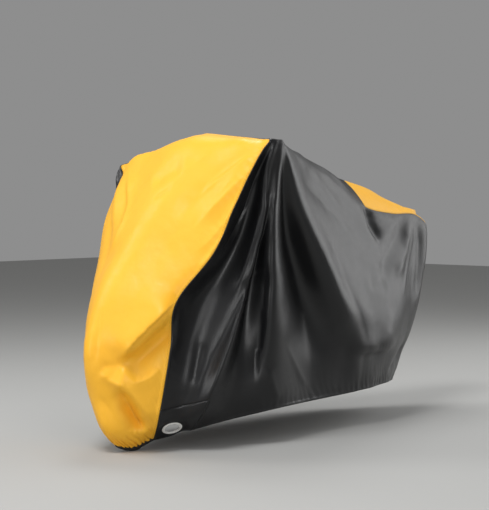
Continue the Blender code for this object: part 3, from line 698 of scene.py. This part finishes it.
def pressedAluminium():
    # aluminium pressed into an eyelet and tumbled: pale and softly bright, with fine scuffs
    material, tree, shader = newMaterial('Pressed aluminium')
    place = addNode(tree, 'TexCoord', {}).outputs['Object']
    scuff = addNode(tree, 'TexNoise', {
        'Vector': place, 'Scale': 1 / eyeletLook['scuff'], 'Detail': 2.0})
    rough = addNode(tree, 'MapRange', {
        'Value': scuff, 'From Min': .35, 'From Max': .65, 'To Min': eyeletLook['roughness'],
        'To Max': eyeletLook['roughness'] + eyeletLook['uneven']})
    bump = addNode(tree, 'Bump', {
        'Strength': .12, 'Distance': eyeletLook['scuffDepth'], 'Height': scuff})
    connect(tree, shader, {'Roughness': rough, 'Normal': bump,
                           'Base Color': fromHex(eyeletLook['colour']),
                           'Metallic': eyeletLook['metallic']})
    return material


paleAluminium = pressedAluminium()
print("materials made")

dressValues = {               # the same for all panels
    'driftNoise': ((.11, 1, .6), (.23, 3, .7)),   # size, seed, share
    'rippleNoise': (.045, 2),
    'calm': .05,              # the cloth lies evenly this near a seam
    'seamRise': .003, 'seamWidth': .009, 'seamFall': .005,
    'puckerStart': .02, 'puckerReach': .035,      # from the seam
    'puckerNoise': (.09, 5), 'puckerWander': 5,
}


def dressed(places, seams, out, values, ruffle=0):
    # fine shape laid on the drape: felled seams, puckers beside them, and slow unevenness
    gap, along = seams
    dress = dressValues
    wander = sum(noiseAt(places, size, seed) * share for size, seed, share in dress['driftNoise'])
    rise = (wander * values['drift']
            + noiseAt(places, *dress['rippleNoise']) * values['ripple'])
    rise = rise * smooth(gap / dress['calm'])
    rise += values['seamProud'] * smooth(gap / dress['seamRise']) \
        * (1 - smooth((gap - dress['seamWidth']) / dress['seamFall']))
    waves = np.sin(along / values['puckerPitch'] * 2 * math.pi
                   + noiseAt(places, *dress['puckerNoise']) * dress['puckerWander'])
    rise += waves * values['pucker'] * smooth(gap / dress['puckerStart']) \
        * np.exp(-gap / dress['puckerReach'])
    return places + out * (rise + ruffle)[:, :, None]


def eyeSeat(side):
    # centre and axis of an eyelet: those of the solid that it replaces, turned by its lean
    ring = np.array([v.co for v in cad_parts['eyelet_' + side].data.vertices]) + topPoint
    _, _, ways = np.linalg.svd(ring - ring.mean(axis=0), full_matrices=False)
    outward = -1 if side == 'left' else 1
    axis = ways[2] * (-1 if ways[2][1] * outward < 0 else 1) + np.array(eyeValues['lean'][side])
    return ring.mean(axis=0), axis / np.linalg.norm(axis)


def heldFlat(places, seat, axis):
    # the cloth lies flat round its eyelet
    away = places - seat
    height = away @ axis
    radius = np.linalg.norm(away - height[:, :, None] * axis, axis=2)
    hold = 1 - smooth((radius - eyeValues['flatRadius']) / eyeValues['holdFade'])
    hold = hold * (np.linalg.norm(away, axis=2) < eyeValues['holdReach'])
    return places - axis * (height * hold)[:, :, None]


sideValues = {
    'cell': .01,              # size of a mesh cell along the panel,
    'fineCell': .0056,        # and in the front folds
    'downCell': .0092,
    'seamSteps': (.003, .006, .009, .013, .018),   # the first cells beside a seam
    'thickness': .0016,
    'seamProud': .0016,       # the felled seam stands this far out
    'pucker': .0016,          # gathers beside a seam
    'puckerPitch': .042,
    'drift': .0032,           # slow unevenness of the cloth
    'ripple': .0003,
    'hemRuffle': .0014, 'rufflePitch': .026, 'ruffleReach': .045,
    'ruffleNoise': (.05, 7), 'ruffleWander': 6,
    'ruffleBack': .25,        # share of it toward the tail
    'ruffleFade': 4,          # in fold lines behind the lock patch
    'ruffleStart': .03,       # from the front seam
    'hemRamp': .012,          # it rises over this from the edge,
    'hemShare': .25,          # which lies this far up the rise
    'flat': (2.42, 1.66), 'area': 2.56,
}


def sidePanel(side):
    values = sideValues
    left = side == 'left'
    steps = values['seamSteps']
    along = columns(left, 0, (values['fineCell'],) * 2 + (values['cell'],) * 2,
                    (0, lockLine, fineLine, rearLine, tailLine),
                    {0: steps, rearLine: steps[:2]})
    down = stepsFor(knots(bodyShape, 1), (values['downCell'],) * 3,
                    (0, shoulderRow, lockTop, hemRow),
                    {0: steps[:2], shoulderRow: steps[:2], hemRow: steps})
    places = folded(bodyPlaces(along, down))
    runAlong, runDown = lengths(places)
    if not left:
        runAlong = runAlong[-1:] - runAlong
    hem = runDown[:, -1:] - runDown
    line = along if left else farLine - along     # fold line number counted from the front seam
    rear = int(np.argmin(abs(line - rearLine)))
    shoulder = int(np.argmin(abs(down - shoulderRow)))
    behind = (line >= rearLine)[:, None] & (down >= shoulderRow)[None]
    before = (line <= rearLine)[:, None] & (down <= shoulderRow)[None]
    seams = seamMap(
        (runAlong, runDown), (runDown, runAlong), (hem, runAlong),
        (np.where(behind, runDown - runDown[:, shoulder:shoulder + 1], farOff), runAlong),
        (np.where(before, abs(runAlong[rear:rear + 1] - runAlong), farOff), runDown))
    frontness = smooth(1 - (line - lockLine) / values['ruffleFade'])[:, None]
    gathers = np.sin(runAlong / values['rufflePitch'] * 2 * math.pi
                     + noiseAt(places, *values['ruffleNoise']) * values['ruffleWander'])
    ruffle = gathers * values['hemRuffle'] * np.exp(-(hem / values['ruffleReach'])**2) \
        * (values['ruffleBack'] + (1 - values['ruffleBack']) * frontness)
    ruffle = ruffle * smooth(runAlong / values['ruffleStart']) \
        * smooth(hem / values['hemRamp'] + values['hemShare'])
    seat, axis = eyeSeat(side)
    places = heldFlat(dressed(places, seams, -facing(places), values, ruffle), seat, axis)

    def isRear(i, j):
        return between(line, i) > rearLine and between(down, j) < shoulderRow

    def isLock(i, j):
        return between(line, i) < lockLine and between(down, j) > lockTop

    panel = sheetObject('sidePanel' + side.title(), places, seams,
                        lambda i, j: not isRear(i, j) and not isLock(i, j), True, blackTaffeta,
                        values['thickness'])
    patch = sheetObject('lockPatch' + side.title(), places, seams, isLock, True, blackTaffeta,
                        values['thickness'], hole=(seat, axis))
    return panel, patch, (seat, axis)


pieces = {}
seats = {}
for side in ('left', 'right'):
    panel, patch, seats[side] = sidePanel(side)
    pieces['panel_side_' + side] = panel
    pieces['lock_patch_' + side] = patch
    print("side panel", side, len(panel.data.polygons), "faces")

tailValues = {
    'cell': .0085, 'seamSteps': (.003, .006, .009, .013), 'thickness': .0016,
    'seamProud': .0014, 'pucker': .0014, 'puckerPitch': .038, 'drift': .003, 'ripple': .0009,
    'spineCalm': .05,         # the two halves lie evenly this near the spine
    'weld': .0004,            # and are welded where they are this close
    'flat': (.50, .78), 'area': .28,
}


def tailPanel():
    values = tailValues
    steps = values['seamSteps']
    halves = []
    for side in ('left', 'right'):
        left = side == 'left'
        along = columns(left, rearLine, (values['cell'],), (0, tailLine - rearLine), {0: steps})
        down = stepsFor(knots(bodyShape, 1)[:shoulderRow + 1], (values['cell'],),
                        (0, shoulderRow), {shoulderRow: steps})
        places = folded(bodyPlaces(along, down))
        runAlong, runDown = lengths(places)
        if not left:
            runAlong = runAlong[-1:] - runAlong
        seams = seamMap((runAlong, runDown), (runDown[:, -1:] - runDown, runAlong))
        out = -facing(places)
        out[:, 0] = (0, 0, 1)
        out = out * smooth(runDown / values['spineCalm'])[:, :, None]
        halves.append(sheetObject('tailHalf' + side, dressed(places, seams, out, values), seams,
                                  lambda i, j: True, True, yellowTaffeta, values['thickness']))
    mesh = bmesh.new()
    for part in halves:
        mesh.from_mesh(part.data)
    bmesh.ops.remove_doubles(mesh, verts=mesh.verts[:], dist=values['weld'])
    piece = halves[0]
    piece.name = piece.data.name = 'tailPanel'
    mesh.to_mesh(piece.data)
    mesh.free()
    bpy.data.objects.remove(halves[1])
    return piece


pieces['panel_rear'] = tailPanel()
print("tail panel", len(pieces['panel_rear'].data.polygons), "faces")

frontValues = {
    'cell': .0072, 'columnCell': .0062, 'seamSteps': (.003, .006, .009, .013, .018),
    'thickness': .0016, 'seamProud': .0014, 'pucker': .0016, 'puckerPitch': .040,
    'drift': .0038, 'ripple': .0010,
    'gather': .0046,          # gathers of the foot
    'gatherPitch': .019,
    'gatherSlant': .7,        # they run this far sideways for each step up
    'gatherDrift': .012, 'gatherNoise': (.05, 11),
    'crossWave': (.6, 1.61, 1.3),   # a second wave in them: share, turns to one, phase
    'gatherLean': .5,         # their hollows are deeper than their ridges are high
    'reach': .095, 'reachDrift': .060, 'reachNoise': (.04, 13),
    'sideReach': .02,         # they die out this near the side seams,
    'edgeReach': .032,        # and toward the edge,
    'edgeShare': .08,         # where this share is left
    'flat': (.98, 1.50), 'area': 1.15,
    'bandThickness': .0022, 'bandFlat': (.34, .045), 'bandArea': .0125,
}


def frontPanel():
    values = frontValues
    steps = values['seamSteps']
    last = len(frontShape) - 1
    along = stepsFor(knots(frontShape, 0), (values['columnCell'],), (0, last),
                     {0: steps, last: steps})
    down = stepsFor(knots(frontShape, 1), (values['cell'],) * 2, (0, bandTop, len(levels) - 1),
                    {0: steps, bandTop: steps[:3]})
    places = folded(frontPlaces(along, down))
    runAlong, runDown = lengths(places)
    hem = runDown[:, -1:] - runDown
    farSide = runAlong[-1:] - runAlong
    seams = seamMap((runAlong, runDown), (farSide, runDown), (runDown, runAlong),
                    (hem, runAlong))
    slanted = runAlong - hem * values['gatherSlant'] \
        + noiseAt(places, *values['gatherNoise']) * values['gatherDrift']
    turn = 2 * math.pi / values['gatherPitch']
    share, turns, phase = values['crossWave']
    gathers = np.sin(slanted * turn) + share * np.sin(slanted * turn * turns + phase)
    reach = values['reach'] + values['reachDrift'] * noiseAt(places, *values['reachNoise'])
    ruffle = (gathers - values['gatherLean'] * abs(gathers)) * values['gather'] \
        * np.exp(-(hem / reach)**2)
    ruffle = ruffle * smooth(np.minimum(runAlong, farSide) / values['sideReach']) \
        * (values['edgeShare'] + (1 - values['edgeShare']) * smooth(hem / values['edgeReach']))
    places = dressed(places, seams, facing(places), values, ruffle)

    def isBand(i, j):
        return between(down, j) > bandTop

    panel = sheetObject('frontPanel', places, seams, lambda i, j: not isBand(i, j), False,
                        yellowTaffeta, values['thickness'])
    band = sheetObject('frontHemBand', places, seams, isBand, False, blackBinding,
                       values['bandThickness'])
    return panel, band


pieces['panel_front'], pieces['hem_band_front'] = frontPanel()
print("front panel", len(pieces['panel_front'].data.polygons), "faces")


def eyelet(side):
    # crowned flange outside, rolled barrel, flat washer inside
    seat, axis = seats[side]
    bore, rim, high = (eyeValues[key] for key in ('boreRadius', 'flangeRadius', 'flangeHeight'))
    section = [(bore, 0), (bore, high * .55), (bore + .0006, high * .85), (bore + .0018, high),
               (bore + .0045, high * 1.04), (rim - .0030, high * .90), (rim - .0010, high * .68),
               (rim, high * .36), (rim - .0004, .0003), (bore + .0020, .0003),
               (bore + .0020, -.0028), (rim - .0006, -.0028), (rim - .0006, -.0042),
               (bore + .0012, -.0046), (bore, -.0040)]
    centre, z = Vector(seat - topPoint), Vector(axis)
    x = z.cross(Vector((0, 0, 1))).normalized()
    mesh = bmesh.new()
    corners = [mesh.verts.new(centre + x * r + z * h) for r, h in section]
    edges = [mesh.edges.new((a, b)) for a, b in zip(corners, corners[1:] + corners[:1])]
    bmesh.ops.spin(mesh, geom=corners + edges, cent=centre, axis=z, angle=2 * math.pi,
                   steps=eyeValues['segments'], use_merge=True)
    bmesh.ops.remove_doubles(mesh, verts=mesh.verts[:], dist=1e-6)
    bmesh.ops.recalc_face_normals(mesh, faces=mesh.faces[:])
    return meshObject('lockEyelet' + side.title(), mesh, paleAluminium)


for side in seats:
    pieces['eyelet_' + side] = eyelet(side)
print("eyelets made")

for node, piece in pieces.items():
    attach(piece, "root")
    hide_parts(node)

studio = {
    'floorHeight': -1.297, 'floorSize': 14, 'floorColour': '#ACACAA', 'floorRoughness': .9,
    'world': '#FFFFFF', 'worldStrength': .27,
    'lights': (  # name, place, aim, size, power
        ('high softbox', (-3.0, -1.0, 4.4), (-.3, 0, -.4), 1.8, 205),
        ('nose softbox', (-5.8, .8, .3), (-.3, 0, -.5), 2.4, 84),
        ('far nose softbox', (-2.8, 3.8, 3.2), (-.3, 0, -.4), 2.0, 92),
        ('side softbox', (-3.2, -5.2, .4), (0, -.4, -.4), 2.5, 100),
        ('tail softbox', (5.3, -1.7, .75), (.7, -.2, -.5), 3.7, 88),
        ('high tail softbox', (4.6, -1.4, 2.8), (.7, -.2, -.5), 3.0, 22),
        ('top tail softbox', (1.5, 1.3, 3.4), (1.2, 0, -.3), 1.6, 62),
    ),
    'camera': (-4.839, -4.576, -.2434), 'look': (.7266, .6871, 0.0), 'right': (.6871, -.7266, 0.0),
    'aimRight': .02671, 'aimUp': -.04036, 'lens': 110.2, 'sensor': 36,
}


def pointed(thing, place, way):
    # an object at a place, that looks along a direction
    holder = bpy.data.objects.new(thing.name, thing)
    holder.location = place
    holder.rotation_euler = way.to_track_quat('-Z', 'Y').to_euler()
    bpy.context.scene.collection.objects.link(holder)
    return holder


def setUpStudio():
    scene = bpy.context.scene
    scene.view_settings.view_transform = 'Standard'
    world = bpy.data.worlds.new('studio')
    world.use_nodes = True
    scene.world = world
    tree = world.node_tree
    connect(tree, tree.nodes['Background'], {0: fromHex(studio['world']),
                                             1: studio['worldStrength']})
    mesh = bmesh.new()
    bmesh.ops.create_grid(mesh, x_segments=1, y_segments=1, size=studio['floorSize'])
    for v in mesh.verts:
        v.co.z = studio['floorHeight']
    material, tree, shader = newMaterial('Matt paper floor')
    connect(tree, shader, {'Base Color': fromHex(studio['floorColour']),
                           'Roughness': studio['floorRoughness']})
    floor = meshObject('floor', mesh, material)
    for name, place, aim, size, power in studio['lights']:
        lamp = bpy.data.lights.new(name, 'AREA')
        lamp.shape = 'SQUARE'
        lamp.size = size
        lamp.energy = power
        pointed(lamp, place, Vector(aim) - Vector(place))
    lens = bpy.data.cameras.new('camera')
    lens.lens = studio['lens']
    lens.sensor_width = studio['sensor']
    way = Vector(studio['look']) + Vector(studio['right']) * studio['aimRight']
    way.z += studio['aimUp']
    scene.camera = pointed(lens, studio['camera'], way)


setUpStudio()
print("studio set")
